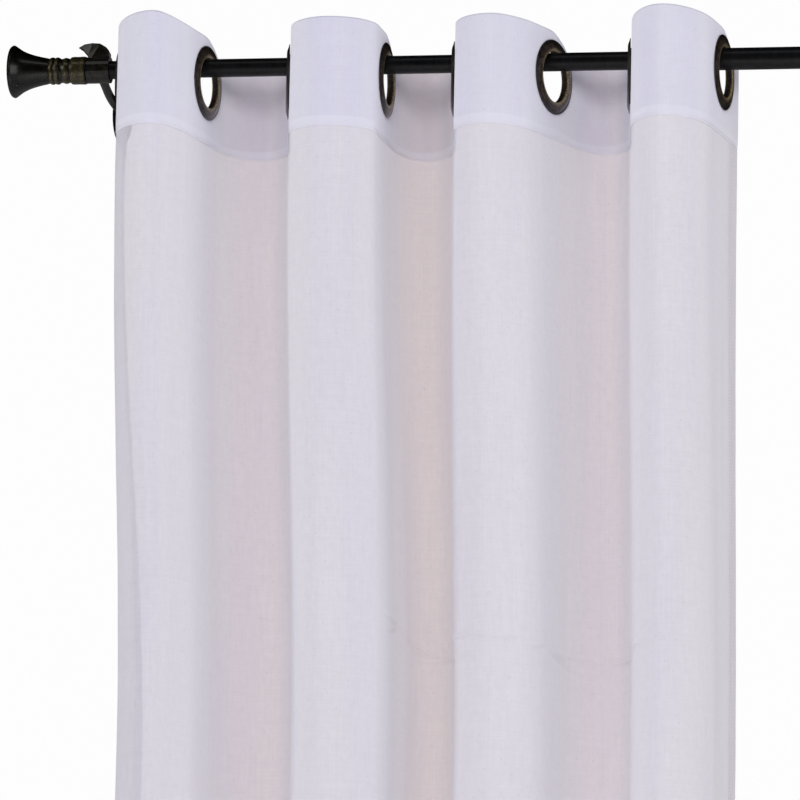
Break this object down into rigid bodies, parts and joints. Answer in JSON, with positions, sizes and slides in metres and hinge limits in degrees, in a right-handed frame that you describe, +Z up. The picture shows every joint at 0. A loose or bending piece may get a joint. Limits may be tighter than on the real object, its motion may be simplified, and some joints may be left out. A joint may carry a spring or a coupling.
{
  "type": "sheer voile eyelet curtain on a telescoping rod",
  "caption": "Sheer voile curtain panel gathered in soft upright folds on a dark telescoping rod, threaded through bronze eyelets, with trumpet finials and wall brackets.",
  "frame": {"origin": "middle of the back face of the left wall plate", "axes": "+Z up, +X to the right along the rod, +Y back towards the wall, whose plane is Y = 0"},
  "size_m": [0.9196, 0.1919, 2.137],
  "materials": {
    "heading_cloth": "doubled plain-weave voile, pale lavender white",
    "voile": "sheer plain-weave voile, pale lavender white",
    "eyelet_bronze": "antique bronze, satin",
    "rod_black": "blackened, satin",
    "finial_bronze": "dark bronze with rubbed gold rings",
    "bracket_bronze": "dark bronze, satin",
    "screw_steel": "dark, satin"
  },
  "bodies": {
    "root": {"heading_band": "heading_cloth", "voile_panel": "voile", "eyelet_1": "eyelet_bronze", "eyelet_2": "eyelet_bronze", "eyelet_3": "eyelet_bronze", "eyelet_4": "eyelet_bronze", "eyelet_5": "eyelet_bronze", "eyelet_6": "eyelet_bronze", "eyelet_7": "eyelet_bronze", "eyelet_8": "eyelet_bronze", "rod_thin_tube": "rod_black", "rod_thick_tube": "rod_black", "left_finial": "finial_bronze", "right_finial": "finial_bronze", "left_bracket": "bracket_bronze", "right_bracket": "bracket_bronze", "left_lower_wall_screw": "screw_steel", "left_upper_wall_screw": "screw_steel", "right_lower_wall_screw": "screw_steel", "right_upper_wall_screw": "screw_steel"}
  },
  "joints": []
}
